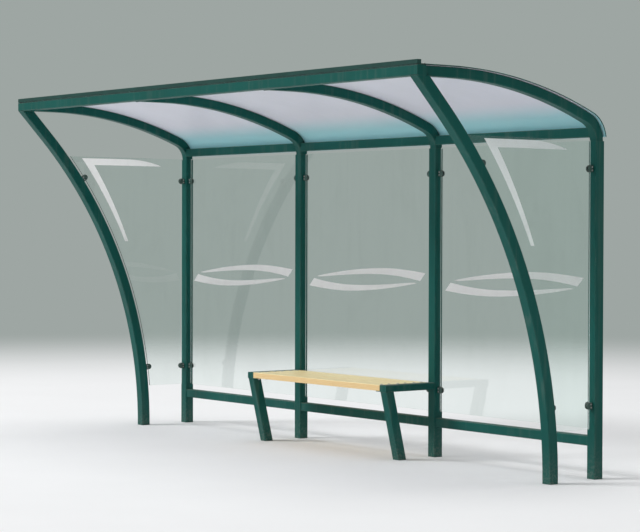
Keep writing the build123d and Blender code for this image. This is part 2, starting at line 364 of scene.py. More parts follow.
def hex_head(across, washer, tall, plate, around=36):
    """Six-sided head on a washer: the washer's rim, the six flats and a rounded top edge.

    Its height and how far the washer stands up are shares of its width.
    """
    six = hexagon(across, around)
    top = np.minimum(six, across / 2)
    height, disc = across * tall, across * plate
    rings = [(washer, -disc), (washer, disc * 0.7), (washer * 0.94, disc)]
    rings += [(across * 0.62, disc * 1.05), (six, disc * 1.1), (six, disc + height * 0.82)]
    rings += [(top, disc + height), (top * 0.6, disc + height)]
    return turned_head(rings, around)


def tubes(middles, first, second, size, around=8):
    """Closed tubes: a circle of this size, turned by two axes, carried along each row of middles."""
    angle = full_turn(around)[:, None]
    spokes = first[..., None, :] * np.cos(angle) + second[..., None, :] * np.sin(angle)
    points = middles[:, :, None] + np.asarray(size)[..., None, None] * spokes
    count, rows = middles.shape[:2]
    shift = (np.arange(count) * rows * around)[:, None, None]
    walls = (grid_faces(rows, around, round_columns=True) + shift).reshape(-1, 4)
    foot = np.arange(around) + shift[:, 0]
    ends = np.concatenate([foot[:, ::-1], foot + (rows - 1) * around])
    return points.reshape(-1, 3), walls.tolist() + ends.tolist()


def beads(lines, radius, pitch, swell=0.16, blunt=5, tip=0.004, samples_per_ripple=3, least=6):
    """Weld beads along straight lines.

    A circle is carried along each line. Its radius swells and shrinks as a cosine along
    the length and draws in to a point at both ends as the root of a half sine.
    """
    starts, ends = np.array(lines, float).transpose(1, 0, 2)
    run = ends - starts
    length = np.linalg.norm(run, axis=1, keepdims=True)
    share = np.linspace(0, 1, int(length.max() / pitch * samples_per_ripple) + least)
    ripple = 1 + swell * np.cos(2 * math.pi * length * share / pitch)
    taper = np.sqrt(np.clip(np.sin(math.pi * np.clip(share, tip, 1 - tip)) * blunt, 0, 1))
    along = run / length
    helper = np.where(np.abs(along[:, 2:]) > 0.9, [[1.0, 0, 0]], [[0, 0, 1.0]])
    across = np.cross(helper, along)
    across /= np.linalg.norm(across, axis=1, keepdims=True)
    middles = starts[:, None] + run[:, None] * share[:, None]
    return tubes(middles, across[:, None], np.cross(along, across)[:, None], radius * ripple * taper)


def lips(paths, normals, radius):
    """Round rubber lips along paths: a circle in the plane of the path's normal and sideways."""
    paths, normals = np.asarray(paths), np.asarray(normals)
    step = np.gradient(paths, axis=1)
    step /= np.linalg.norm(step, axis=2, keepdims=True)
    return tubes(paths, np.cross(step, normals), normals, radius)


def piece(name, mesh_parts, material, ink=None):
    """New piece from points and faces, with its place in its mesh, riding on the shelter."""
    points, faces = mesh_parts
    mesh = bpy.data.meshes.new(name)
    mesh.from_pydata(points.tolist(), [], faces)
    mesh.materials.append(material)
    mesh.polygons.foreach_set("use_smooth", np.ones(len(mesh.polygons), bool))
    if ink is not None:
        layer = mesh.attributes.new("ink", "FLOAT", "POINT")
        layer.data.foreach_set("value", np.asarray(ink, np.float32).ravel())
    mesh.update()
    mesh.set_sharp_from_angle(angle=math.radians(35))
    made = bpy.data.objects.new(name, mesh)
    bpy.context.scene.collection.objects.link(made)
    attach(made, "root")


# Lines that the part follows

def summed(values, step):
    """Running sum of evenly spaced values, each step taken at its middle."""
    return np.concatenate([[0], np.cumsum((values[1:] + values[:-1]) / 2 * step)])


def roof_points(lift, lengths, samples=4001):
    """Points (y, z) and outward directions of the roof's side view at these lengths from the front.

    The heading is the runs' bend summed along the length. The point is the heading summed,
    moved outwards by lift.
    """
    fine = np.linspace(0, ROOF_STOPS[-1], samples)
    run = np.clip(np.searchsorted(ROOF_STOPS, fine, side="right") - 1, 0, len(ROOF_RUNS) - 1)
    heading = summed(np.array([bend for length, bend in ROOF_RUNS])[run], fine[1])
    at = np.interp(lengths, fine, heading)
    outward = np.stack([np.sin(at), np.cos(at)], -1)
    y = REAR - HEADER_REACH + np.interp(lengths, fine, summed(np.cos(heading), fine[1]))
    z = RIB_HEIGHT - np.interp(lengths, fine, summed(np.sin(heading), fine[1]))
    return np.stack([y, z], -1) + lift * outward, outward


def behind_leg(height, distance):
    """Y and turn of a point behind a bent leg, by its height and its distance from the leg's middle."""
    radius = LEG_RADIUS + distance
    turn = np.arcsin((height - LEG_UPRIGHT) / radius)
    return REAR - LEG_FORWARD - LEG_RADIUS + radius * np.cos(turn), turn


# Node trees

class Tree:
    """Short hand for adding nodes and links to one node tree."""

    def __init__(self, tree):
        self.tree = tree

    def add(self, kind, inputs=None, **settings):
        node = self.tree.nodes.new(kind)
        for key, value in settings.items():
            setattr(node, key, value)
        for key, value in (inputs or {}).items():
            self.feed(node.inputs[key], value)
        return node

    def feed(self, socket, value):
        """Link the value's socket to this one, or set the plain value on it."""
        if isinstance(value, bpy.types.NodeSocket):
            self.tree.links.new(value, socket)
        elif socket.type == "RGBA":
            socket.default_value = (*value, 1)
        else:
            socket.default_value = value

    def maths(self, operation, first, second=0.0, third=0.0, clamp=False):
        inputs = {0: first, 1: second, 2: third}
        return self.add("ShaderNodeMath", inputs, operation=operation, use_clamp=clamp).outputs[0]

    def times(self, first, second, plus=0.0, clamp=False):
        """One value times another, and a third added."""
        return self.maths("MULTIPLY_ADD", first, second, plus, clamp)

    def vector(self, operation, first, second=(0, 0, 0)):
        node = self.add("ShaderNodeVectorMath", {0: first, 1: second}, operation=operation)
        return node.outputs["Value" if operation in ("DOT_PRODUCT", "LENGTH") else "Vector"]

    def stretch(self, vector, scale):
        return self.vector("MULTIPLY", vector, scale)

    def blend(self, share, first, second):
        node = self.add("ShaderNodeMix", data_type="RGBA")
        for socket, value in zip((node.inputs[0], node.inputs[6], node.inputs[7]), (share, first, second)):
            self.feed(socket, value)
        return node.outputs[2]

    def band(self, value, low, high, to_low=0.0, to_high=1.0):
        """Smooth step from to_low to to_high as the value goes from low to high."""
        ends = {"From Min": low, "From Max": high, "To Min": to_low, "To Max": to_high}
        node = self.add("ShaderNodeMapRange", {"Value": value, **ends}, interpolation_type="SMOOTHSTEP")
        return node.outputs["Result"]

    def noise(self, vector, scale, detail=2.0, roughness=0.5, distortion=0.0):
        inputs = {"Vector": vector, "Scale": scale, "Detail": detail}
        inputs.update({"Roughness": roughness, "Distortion": distortion})
        return self.add("ShaderNodeTexNoise", inputs).outputs["Fac"]

    def place(self):
        return self.add("ShaderNodeTexCoord").outputs["Object"]

    def normal(self):
        return self.add("ShaderNodeNewGeometry").outputs["Normal"]

    def parts(self, vector):
        return self.add("ShaderNodeSeparateXYZ", {0: vector}).outputs[:3]

    def point(self, x, y, z=0.0):
        return self.add("ShaderNodeCombineXYZ", {0: x, 1: y, 2: z}).outputs[0]

    def effect(self, build, **values):
        """Outputs of a shared effect, placed with its own values."""
        node = self.add("ShaderNodeGroup", node_tree=build())
        for key, value in values.items():
            self.feed(node.inputs[key.replace("_", " ")], value)
        return node.outputs

    def bump(self, height, distance, strength=1.0):
        inputs = {"Height": height, "Distance": distance, "Strength": strength}
        return self.add("ShaderNodeBump", inputs).outputs["Normal"]


def once(build):
    """Build a group the first time it is asked for and hand out the same one after that."""
    kept = []

    def get():
        if not kept:
            kept.append(build())
        return kept[0]

    return get


def effect_group(name, inputs, outputs):
    """Shader node group with named values; gives the helper, its input sockets and its output sockets."""
    tree = bpy.data.node_groups.new(name, "ShaderNodeTree")
    kind = "NodeSocketFloat"
    for label, default in inputs.items():
        tree.interface.new_socket(label, in_out="INPUT", socket_type=kind).default_value = default
    for label in outputs:
        tree.interface.new_socket(label, in_out="OUTPUT", socket_type=kind)
    nodes = Tree(tree)
    return nodes, nodes.add("NodeGroupInput").outputs, nodes.add("NodeGroupOutput").inputs


@once
def edge_wear():
    """Mask of rubbed edges: how far a rounded normal turns from the face's own, broken by noise."""
    inputs = {"Radius": 0.003, "Amount": 0.5, "Patch Scale": 9.0}
    nodes, given, out = effect_group("Edge wear", inputs, ["Mask", "Chips"])
    rounded = nodes.add("ShaderNodeBevel", {"Radius": given["Radius"]}, samples=4).outputs[0]
    turn = nodes.maths("SUBTRACT", 1.0, nodes.vector("DOT_PRODUCT", rounded, nodes.normal()))
    edge = nodes.band(turn, 0.004, 0.07)
    place = nodes.place()
    patches = nodes.noise(place, given["Patch Scale"], detail=4, roughness=0.6)
    grit = nodes.noise(place, nodes.times(given["Patch Scale"], 22.0), detail=3, roughness=0.65)
    rubbed = nodes.band(nodes.times(grit, 0.35, patches), 0.52, 0.86)
    edge = nodes.times(edge, given["Amount"])
    nodes.feed(out["Mask"], nodes.times(edge, rubbed))
    nodes.feed(out["Chips"], nodes.times(edge, nodes.band(grit, 0.66, 0.70)))
    return nodes.tree


@once
def settled_dust():
    """Mask of dust: on faces that look up, and as splash that thins out above the ground."""
    inputs = {"Amount": 0.3, "Splash Height": 0.35, "Scale": 14.0}
    nodes, given, out = effect_group("Settled dust", inputs, ["Mask"])
    up = nodes.parts(nodes.normal())[2]
    place = nodes.place()
    mottled = nodes.band(nodes.noise(place, given["Scale"], detail=5, roughness=0.62), 0.36, 0.66)
    lying = nodes.times(nodes.band(up, 0.35, 0.95), nodes.times(mottled, 0.6, 0.4))
    height = nodes.maths("DIVIDE", nodes.parts(place)[2], given["Splash Height"])
    low = nodes.maths("POWER", nodes.maths("SUBTRACT", 1.0, height, clamp=True), 2.0)
    fine = nodes.noise(place, nodes.times(given["Scale"], 6.0), detail=3, roughness=0.7)
    splash = nodes.times(low, nodes.times(nodes.band(fine, 0.44, 0.62), 0.8, 0.2))
    both = nodes.maths("MAXIMUM", lying, splash)
    nodes.feed(out["Mask"], nodes.times(both, given["Amount"], clamp=True))
    return nodes.tree


@once
def rain_runs():
    """Mask of faint upright streaks: noise drawn out along the height."""
    nodes, given, out = effect_group("Rain runs", {"Width Scale": 60.0, "Amount": 0.3}, ["Mask"])
    drawn = nodes.stretch(nodes.place(), (1, 1, 0.035))
    streak = nodes.band(nodes.noise(drawn, given["Width Scale"], detail=3, roughness=0.6), 0.50, 0.68)
    fade = nodes.noise(nodes.place(), 2.2)
    nodes.feed(out["Mask"], nodes.times(nodes.times(streak, fade), given["Amount"]))
    return nodes.tree


@once
def sprayed_skin():
    """Height of a sprayed coat: two sizes of soft noise."""
    nodes, given, out = effect_group("Sprayed skin", {"Scale": 320.0}, ["Height"])
    place = nodes.place()
    wide = nodes.noise(place, nodes.times(given["Scale"], 0.3), detail=1, roughness=0.4)
    fine = nodes.noise(place, given["Scale"])
    nodes.feed(out["Height"], nodes.times(fine, 0.6, nodes.times(wide, 0.4)))
    return nodes.tree


@once
def brushed():
    """Fine drawn lines along X with scattered scratches: noise squeezed across the line."""
    inputs = {"Scale": 400.0, "Scratch Amount": 0.4}
    nodes, given, out = effect_group("Brushed", inputs, ["Lines", "Scratches"])
    place = nodes.place()
    lines = nodes.noise(nodes.stretch(place, (0.02, 1, 1)), given["Scale"], detail=3, roughness=0.6)
    slanted = nodes.add("ShaderNodeMapping", {"Vector": place, "Rotation": (0.5, 0.7, 0.4)}).outputs[0]
    fine = nodes.noise(nodes.stretch(slanted, (0.03, 1, 1)), nodes.times(given["Scale"], 0.5))
    nodes.feed(out["Lines"], lines)
    nodes.feed(out["Scratches"], nodes.times(nodes.band(fine, 0.66, 0.70), given["Scratch Amount"]))
    return nodes.tree


# Finishes

EVEN_SCATTER = {"Subsurface Weight": 1.0, "Subsurface Radius": (1.0, 1.0, 1.0)}


def finish(name, uniform=None):
    """New material with one Principled shader; uniform holds plain values for its own sockets."""
    made = bpy.data.materials.new(name)
    made.use_nodes = True
    made.node_tree.nodes.clear()
    nodes = Tree(made.node_tree)
    shader = nodes.add("ShaderNodeBsdfPrincipled", uniform)
    nodes.add("ShaderNodeOutputMaterial", {"Surface": shader.outputs[0]})
    return made, nodes, shader.inputs


def let_light_through(nodes, shader, share):
    """Let this share of the light between lamps and dull surfaces pass through a clear sheet."""
    rays = nodes.add("ShaderNodeLightPath").outputs
    lighting = nodes.maths("MAXIMUM", rays["Is Shadow Ray"], rays["Is Diffuse Ray"])
    nodes.feed(shader["Alpha"], nodes.times(lighting, -share, 1.0))


def painted(paint):
    """Sprayed green coat: sun-dulled patches, rubbed edges with chips, dust, splash and rain runs."""
    made, nodes, shader = finish("Green paint", {"Specular IOR Level": 0.16})
    place = nodes.place()
    patches = nodes.band(nodes.noise(place, 1.7, detail=4, roughness=0.55, distortion=0.4), 0.34, 0.70)
    mottle = nodes.noise(place, 38.0, detail=3, roughness=0.6)
    colour = nodes.blend(nodes.times(mottle, 0.25, nodes.times(patches, 0.5)), paint.colour, paint.shade)
    wear = nodes.effect(edge_wear, Radius=0.004, Amount=paint.edge_wear, Patch_Scale=7.0)
    colour = nodes.blend(wear["Mask"], colour, nodes.blend(0.5, paint.shade, paint.dust))
    colour = nodes.blend(wear["Chips"], colour, paint.primer)
    runs = nodes.effect(rain_runs, Width_Scale=24.0, Amount=paint.run_share)["Mask"]
    dust = nodes.effect(settled_dust, Amount=paint.dust_share, Splash_Height=0.30, Scale=12.0)["Mask"]
    colour = nodes.blend(runs, colour, paint.dust)
    nodes.feed(shader["Base Color"], nodes.blend(dust, colour, paint.dust))
    rough = nodes.times(dust, 0.35, nodes.times(mottle, 0.16, 0.36), clamp=True)
    nodes.feed(shader["Roughness"], nodes.times(wear["Mask"], 0.12, rough, clamp=True))
    skin = nodes.effect(sprayed_skin, Scale=300.0)["Height"]
    nodes.feed(shader["Normal"], nodes.bump(nodes.times(wear["Chips"], -0.8, skin), paint.skin))
    return made


def pane_finish(panes, name, face_axis):
    """Clear toughened glass: green cut edges, faint wipe marks and a dusty foot."""
    made, nodes, shader = finish(name, {"IOR": 1.5, "Transmission Weight": 1.0, "Metallic": 0.0})
    facing = nodes.maths("ABSOLUTE", nodes.vector("DOT_PRODUCT", nodes.normal(), face_axis))
    edge = nodes.band(facing, 0.9, 0.5)
    place = nodes.place()
    drawn = nodes.stretch(place, (1, 1, 0.5))
    smear = nodes.band(nodes.noise(drawn, 3.2, detail=5, roughness=0.6, distortion=0.8), 0.45, 0.75)
    dust = nodes.effect(settled_dust, Amount=0.5, Splash_Height=0.75, Scale=20.0)["Mask"]
    runs = nodes.effect(rain_runs, Width_Scale=30.0, Amount=0.25)["Mask"]
    marks = nodes.times(runs, 0.25, nodes.times(smear, 0.10))
    marks = nodes.times(dust, 0.25, marks, clamp=True)
    tint = nodes.blend(marks, panes.glass, panes.wiped)
    nodes.feed(shader["Base Color"], nodes.blend(edge, tint, panes.edge))
    rough = nodes.times(marks, 0.12, 0.012)
    nodes.feed(shader["Roughness"], nodes.times(edge, 0.22, rough, clamp=True))
    ripple = nodes.noise(place, 5.0, detail=1, roughness=0.4)
    nodes.feed(shader["Normal"], nodes.bump(ripple, distance=0.0006, strength=0.4))
    let_light_through(nodes, shader, panes.passes)
    return made


def frosted(panes):
    """White frosting, made once: fine grain that thins out where the ink attribute falls."""
    name = "Frosted stripe"
    if name in bpy.data.materials:
        return bpy.data.materials[name]
    uniform = {"Specular IOR Level": 0.25, "Subsurface Scale": 0.01}
    made, nodes, shader = finish(name, {**uniform, **EVEN_SCATTER})
    place = nodes.place()
    grain = nodes.noise(place, 900.0, roughness=0.6)
    cloud = nodes.noise(place, 16.0, detail=4, roughness=0.6)
    dirt = nodes.effect(rain_runs, Width_Scale=40.0, Amount=0.2)["Mask"]
    tone = nodes.times(cloud, 0.18, nodes.times(dirt, 0.5))
    nodes.feed(shader["Base Color"], nodes.blend(tone, panes.frost, panes.dulled))
    nodes.feed(shader["Roughness"], nodes.times(grain, 0.25, 0.45))
    ink = nodes.add("ShaderNodeAttribute", attribute_name="ink").outputs["Fac"]
    cover = nodes.times(ink, nodes.times(cloud, 0.14, 0.88))
    nodes.feed(shader["Alpha"], nodes.maths("MINIMUM", cover, 1.0))
    nodes.feed(shader["Normal"], nodes.bump(grain, distance=0.0001, strength=0.6))
    return made


def roof_plastic(roof):
    """Hazy clear sheet: fine flutes along the slope, dust and stains above, and painted teal light on the
    underside at the rear bend.
    """
    uniform = {"IOR": 1.38, "Transmission Weight": 0.40, "Metallic": 0.0, "Subsurface Scale": 0.02}
    made, nodes, shader = finish("Roof plastic", {**uniform, **EVEN_SCATTER})
    place = nodes.place()
    x, y, z = nodes.parts(place)
    # Painted teal light near the rear bend: full on faces looking down, 0.4 on faces looking up, fading in
    # between the two heights
    downward = nodes.vector("DOT_PRODUCT", nodes.normal(), (0, -1, -1))
    inner = nodes.band(downward, -0.3, 0.3, to_low=0.40)
    rear = nodes.times(nodes.band(z, roof.teal_light_top, roof.teal_light_full), inner)
    flute = nodes.maths("SINE", nodes.times(x, 2 * math.pi / roof.flute))
    cloud = nodes.noise(place, 2.4, detail=4, roughness=0.6, distortion=0.5)
    stain = nodes.band(nodes.noise(place, 17.0, detail=5, roughness=0.65), 0.56, 0.72)
    dust = nodes.effect(settled_dust, Amount=0.55, Splash_Height=0.01, Scale=9.0)["Mask"]
    grime = nodes.times(dust, nodes.times(stain, 0.35, 0.12))
    streaks = nodes.noise(nodes.stretch(place, (1, 0.05, 0.05)), 26.0, detail=3, roughness=0.6)
    tint = nodes.blend(nodes.times(streaks, 0.35, nodes.times(cloud, 0.35)), roof.plastic, roof.haze)
    # Blend in the painted teal light near the rear bend
    tint = nodes.blend(rear, tint, roof.rear_teal_light)
    tint = nodes.blend(nodes.times(nodes.band(flute, 0.90, 1.0), 0.10), tint, roof.web)
    tint = nodes.blend(grime, tint, roof.grime)
    end, front = float(header_high[0]), float(header_low[1])
    fade = roof.tape_width / 3
    at_end = nodes.band(nodes.maths("ABSOLUTE", x), end - roof.tape_width, end - fade)
    at_front = nodes.band(y, front + roof.tape_width, front + fade)
    taped = nodes.maths("MAXIMUM", at_end, at_front)
    nodes.feed(shader["Base Color"], nodes.blend(taped, tint, roof.tape))
    rough = nodes.times(cloud, 0.12, 0.34)
    nodes.feed(shader["Roughness"], nodes.times(grime, 0.3, rough, clamp=True))
    nodes.feed(shader["Normal"], nodes.bump(nodes.times(flute, 0.5), distance=0.00008, strength=0.5))
    let_light_through(nodes, shader, roof.passes)
    return made


def coated_metal(name, colour, dust_colour, bare, line_scale, wear):
    """Drawn or cast metal with a thin coat: lines, scratches, rubbed edges and dust."""
    made, nodes, shader = finish(name, {"Specular IOR Level": 0.3})
    lines = nodes.effect(brushed, Scale=line_scale, Scratch_Amount=0.5)
    rubbed = nodes.effect(edge_wear, Radius=0.0015, Amount=wear, Patch_Scale=24.0)["Mask"]
    cloud = nodes.noise(nodes.place(), 11.0, detail=4, roughness=0.6)
    lighter = [min(1.0, channel * 1.7 + 0.008) for channel in colour]
    darker = [channel * 0.72 for channel in colour]
    tone = nodes.blend(nodes.band(cloud, 0.3, 0.7), darker, colour)
    tone = nodes.blend(nodes.times(lines["Lines"], 0.35), tone, lighter)
    tone = nodes.blend(nodes.maths("ADD", rubbed, lines["Scratches"], clamp=True), tone, lighter)
    dust = nodes.effect(settled_dust, Amount=0.35, Splash_Height=0.2, Scale=30.0)["Mask"]
    nodes.feed(shader["Base Color"], nodes.blend(dust, tone, dust_colour))
    shown = nodes.times(rubbed, 0.3, bare, clamp=True)
    nodes.feed(shader["Metallic"], nodes.times(shown, nodes.maths("SUBTRACT", 1.0, dust)))
    rough = nodes.times(lines["Lines"], 0.2, 0.30)
    nodes.feed(shader["Roughness"], nodes.times(dust, 0.4, rough, clamp=True))
    nodes.feed(shader["Normal"], nodes.bump(lines["Lines"], distance=0.00006, strength=0.7))
    return made


def rubber_finish(metal):
    """Matt black rubber with bloom and grit."""
    made, nodes, shader = finish("Black rubber", {"Specular IOR Level": 0.3})
    place = nodes.place()
    bloom = nodes.noise(place, 26.0, detail=4, roughness=0.65)
    grit = nodes.noise(place, 420.0, detail=3, roughness=0.7)
    dust = nodes.effect(settled_dust, Amount=0.5, Splash_Height=0.3, Scale=40.0)["Mask"]
    tone = nodes.blend(nodes.times(bloom, 0.3), metal.rubber, metal.bloom)
    nodes.feed(shader["Base Color"], nodes.blend(dust, tone, metal.grit))
    nodes.feed(shader["Roughness"], nodes.times(bloom, 0.25, 0.60))
    nodes.feed(shader["Normal"], nodes.bump(grit, distance=0.00012, strength=0.6))
    return made


def timber(seat):
    """Varnished softwood boards cut from round logs.

    Rings are circles round a pith line below each board, bent by slow noise along the
    board. Fibres are noise drawn out along it, and knots are sparse dark cells.
    """
    made, nodes, shader = finish("Bench timber", {"Coat Weight": 0.25, "Coat Roughness": 0.28})
    x, y, z = nodes.parts(nodes.place())
    number = nodes.maths("DIVIDE", nodes.maths("SUBTRACT", y, float(board_low[1])), BOARD_PITCH)
    board = nodes.maths("FLOOR", number)
    inside = nodes.times(nodes.maths("SUBTRACT", nodes.maths("FRACT", number), 0.5), BOARD_PITCH)
    along = nodes.point(nodes.times(board, 3.71, x), inside, z)

    def drawn(stretches, scale, detail=2, roughness=0.5):
        """Noise stretched along the board."""
        return nodes.noise(nodes.stretch(along, stretches), scale, detail, roughness)

    sway = nodes.maths("SUBTRACT", drawn((1, 2.5, 2.5), 1.9), 0.5)
    pith = nodes.times(nodes.maths("SINE", nodes.times(board, 2.4)), 0.045, inside)
    pith = nodes.times(sway, 0.055, pith)
    below = nodes.maths("ADD", nodes.maths("SUBTRACT", z, float(board_low[2])), seat.pith)
    inputs = {"Vector": nodes.stretch(along, (0.55, 1, 0)), "Scale": 3.3, "Randomness": 1.0}
    cells = nodes.add("ShaderNodeTexVoronoi", inputs, feature="F1").outputs["Distance"]
    knot = nodes.band(cells, 0.055, 0.012)
    swirl = nodes.band(cells, 0.16, 0.02)
    reach = nodes.times(swirl, 0.012, nodes.vector("LENGTH", nodes.point(pith, below)))
    wobble = nodes.times(drawn((4, 30, 30), 1.0, detail=3, roughness=0.6), 0.004)
    ring = nodes.maths("FRACT", nodes.maths("DIVIDE", nodes.maths("ADD", reach, wobble), seat.ring))
    late = nodes.times(nodes.band(ring, 0.30, 0.92), nodes.band(ring, 1.0, 0.93))
    fibre = drawn((3, 160, 160), 4.0, detail=4, roughness=0.65)
    pores = nodes.band(drawn((8, 420, 420), 2.0, roughness=0.6), 0.60, 0.74)
    tone = nodes.times(late, 0.62, nodes.times(fibre, 0.30), clamp=True)
    colour = nodes.blend(tone, seat.early, seat.late)
    colour = nodes.blend(nodes.times(drawn((0.8, 4, 4), 2.6), 0.35), colour, seat.cast)
    colour = nodes.blend(nodes.times(pores, 0.35), colour, seat.grime)
    colour = nodes.blend(nodes.times(knot, 0.8), colour, seat.knot)
    # Painted shade and unbleached wood: faces that don't look up blend toward the darker side colour
    up = nodes.parts(nodes.normal())[2]
    colour = nodes.blend(nodes.band(up, 0.6, 0.1, to_high=0.42), colour, seat.side)
    wear = nodes.effect(edge_wear, Radius=0.004, Amount=0.6, Patch_Scale=16.0)["Mask"]
    nodes.feed(shader["Base Color"], nodes.blend(nodes.times(wear, 0.6), colour, seat.grime))
    nodes.feed(shader["Roughness"], nodes.times(tone, 0.18, 0.42))
    height = nodes.times(late, 0.5, nodes.times(pores, -0.8, fibre))
    nodes.feed(shader["Normal"], nodes.bump(height, distance=0.00018, strength=0.7))
    return made


def dress(names, material):
    """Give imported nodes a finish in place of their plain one."""
    for name in names:
        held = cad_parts[name]
        if not held.material_slots:
            raise RuntimeError(f"{name} has no material slot to dress")
        for holder in held.material_slots:
            holder.material = material


def made_before(name):
    """Material made by an earlier step."""
    found = bpy.data.materials.get(name)
    if found is None:
        raise RuntimeError(f"{name} isn't made yet: run its own step first")
    return found


# Steps, one for each piece or group of like pieces

class SHELTER_OT_paint(Operator):
    """Paint the posts, ribs, legs, header, beams, rails and bench frame"""
    bl_idname = "shelter.paint"
    bl_label = "Paint the frame"

    def execute(self, context):
        names = numbered("rear_post", POSTS) + numbered("roof_rib", POSTS) + ["roof_header"]
        names += numbered("rear_beam", BAYS) + numbered("bottom_rail", BAYS)
        for stem in ("front_leg", "bench_arm", "bench_leg", "bench_ledge"):
            names += sided(stem)
        dress(names, painted(context.scene.shelter_paint))
        return {"FINISHED"}


class SHELTER_OT_glass(Operator):
    """Glaze the back and the two sides"""
    bl_idname = "shelter.glass"
    bl_label = "Glaze the panes"

    def execute(self, context):
        panes = context.scene.shelter_panes
        dress(numbered("rear_glass", BAYS), pane_finish(panes, "Rear pane glass", (0, 1, 0)))
        dress(sided("side_glass"), pane_finish(panes, "Side pane glass", (1, 0, 0)))
        return {"FINISHED"}


class SHELTER_OT_roof(Operator):
    """Give the roof sheets, caps and front trim their finishes"""
    bl_idname = "shelter.roof"
    bl_label = "Roof sheets and caps"

    def execute(self, context):
        roof, dust = context.scene.shelter_roof, context.scene.shelter_metal.dust
        dress(numbered("roof_sheet", BAYS), roof_plastic(roof))
        metal = coated_metal("Cap metal", roof.metal, dust, bare=0.15, line_scale=420, wear=0.4)
        dress(numbered("roof_cap", POSTS) + ["roof_front_trim"], metal)
        return {"FINISHED"}


class SHELTER_OT_clamps(Operator):
    """Finish the pane clamps and make the steel and rubber used by the fixings"""
    bl_idname = "shelter.clamps"
    bl_label = "Pane clamps"

    def execute(self, context):
        metal = context.scene.shelter_metal
        cast = coated_metal("Clamp metal", metal.clamp, metal.dust, bare=0.25, line_scale=700, wear=0.6)
        dress(numbered("rear_clamps", BAYS) + sided("side_clamps"), cast)
        coated_metal("Stainless steel", metal.steel, metal.dust, bare=0.9, line_scale=900, wear=0.5)
        rubber_finish(metal)
        return {"FINISHED"}


class SHELTER_OT_seat(Operator):
    """Give the seat boards their grain"""
    bl_idname = "shelter.seat"
    bl_label = "Seat boards"

    def execute(self, context):
        dress(numbered("bench_board", BOARDS), timber(context.scene.shelter_seat))
        return {"FINISHED"}


class SHELTER_OT_side_stripes(Operator):
    """Frosted safety stripe on each side pane: a level arm and a slant that follows the leg"""
    bl_idname = "shelter.side_stripes"
    bl_label = "Side pane stripes"

    def execute(self, context):
        panes = context.scene.shelter_panes
        ends = (("left", POST_X[0], 1, panes.inset_left), ("right", POST_X[-1], -1, panes.inset_right))
        for side, x, inward, inset in ends:
            front, ink = side_stripe(panes, x + inward * (GLASS / 2 + panes.film * 0.2), inset)
            if inward > 0:
                front, ink = front[:, ::-1], ink[:, ::-1]
            depth = np.array([inward * panes.film, 0, 0])
            film = closed_film(front + depth, -depth)
            piece(f"side_stripe_{side}", film, frosted(panes), np.tile(ink.ravel(), 2))
        return {"FINISHED"}


def side_stripe(panes, x, inset, rows=61, columns=5):
    """Bent stripe in the plane of a side pane, as a grid between an outer and an inner line.

    The arm's lower line is level. Its upper line lies one stroke above and falls to the
    lower one with the square of the distance past its bend. Below the corner both lines
    keep their distance behind the leg, and the stroke thins evenly down to the tip.
    """
    top = float(pane_high[2]) - panes.top_margin
    under = top - panes.arm_stroke
    tip, bend = REAR - panes.arm_tip, REAR - panes.arm_bend
    corner = rows - 1
    arm = np.linspace(0, 1, rows)[:-1]
    slant = np.linspace(0, 1, rows)
    stroke = np.concatenate([np.full(corner, panes.stroke), panes.stroke * (1 - panes.thinning * slant)])
    out_z = np.concatenate([np.zeros(corner), top + (panes.slant_foot - top) * slant])
    in_z = np.concatenate([np.full(corner, under), under + (panes.slant_foot - under) * slant])
    out_y = behind_leg(out_z, inset)[0]
    in_y = behind_leg(in_z, inset + stroke)[0]
    for line in (out_y, in_y):
        line[:corner] = tip + (line[corner] - tip) * arm
    past = np.clip((out_y[:corner] - bend) / (tip - bend), 0, 1)
    out_z[:corner] = top - (panes.arm_stroke - panes.film) * past ** 2
    share = np.linspace(0, 1, columns)
    y = out_y[:, None] * (1 - share) + in_y[:, None] * share
    z = out_z[:, None] * (1 - share) + in_z[:, None] * share
    ink = 1 - panes.faded * np.concatenate([1 - np.sqrt(arm), slant ** 2])
    return np.stack([np.full_like(y, x), y, z], -1), np.broadcast_to(ink[:, None], y.shape)


class SHELTER_OT_rear_stripes(Operator):
    """Frosted safety stripes on the back: two brushed arcs on each pane"""
    bl_idname = "shelter.rear_stripes"
    bl_label = "Rear pane stripes"

    def execute(self, context):
        panes = context.scene.shelter_panes
        for index, name in enumerate(numbered("rear_glass", BAYS), 1):
            film, ink = rear_stripes(panes, *corners(name))
            piece(f"rear_stripes_{index}", film, frosted(panes), ink)
        return {"FINISHED"}


def rear_stripes(panes, low, high, rows=73, columns=5):
    """Two brushed arcs on the street face of a rear pane.

    The upper edge falls away from its crown with a power of the distance, more steeply on
    the short side. The stroke grows with the root of the length and ends in a slanting
    cut. The lower arc is the upper one turned half a turn about the middle.
    """
    crown, power, gentle, steep = 0.66, 1.8, 0.142, 0.190
    share = np.linspace(0, 1, rows)[:, None]
    lane = np.linspace(1, 0, columns)
    start, end = low[0] + panes.eye_start, high[0] - panes.eye_end
    fall = np.where(share < crown, gentle, steep) * np.abs(share - crown) ** power
    stroke = panes.eye_stroke * np.sqrt(share + 0.004)
    x = start + (end - start) * share + panes.eye_cut * (lane - 0.5) * share ** 6
    z = panes.eye_rise - fall - stroke * (1 - lane)
    y = np.full_like(z, low[1] - panes.film * 1.2)
    upper = np.stack([x, y, panes.eye_height + z], -1)
    lower = np.stack([low[0] + high[0] - x, y, panes.eye_height - z], -1)
    depth = np.array([0, panes.film, 0])
    first, faces = closed_film(upper, depth)
    second, more = closed_film(lower, depth)
    faces = faces + [[corner + len(first) for corner in face] for face in more]
    ink = 1 - panes.eye_faded * (1 - share ** 0.7)
    return (np.concatenate([first, second]), faces), np.tile(np.broadcast_to(ink, z.shape).ravel(), 4)


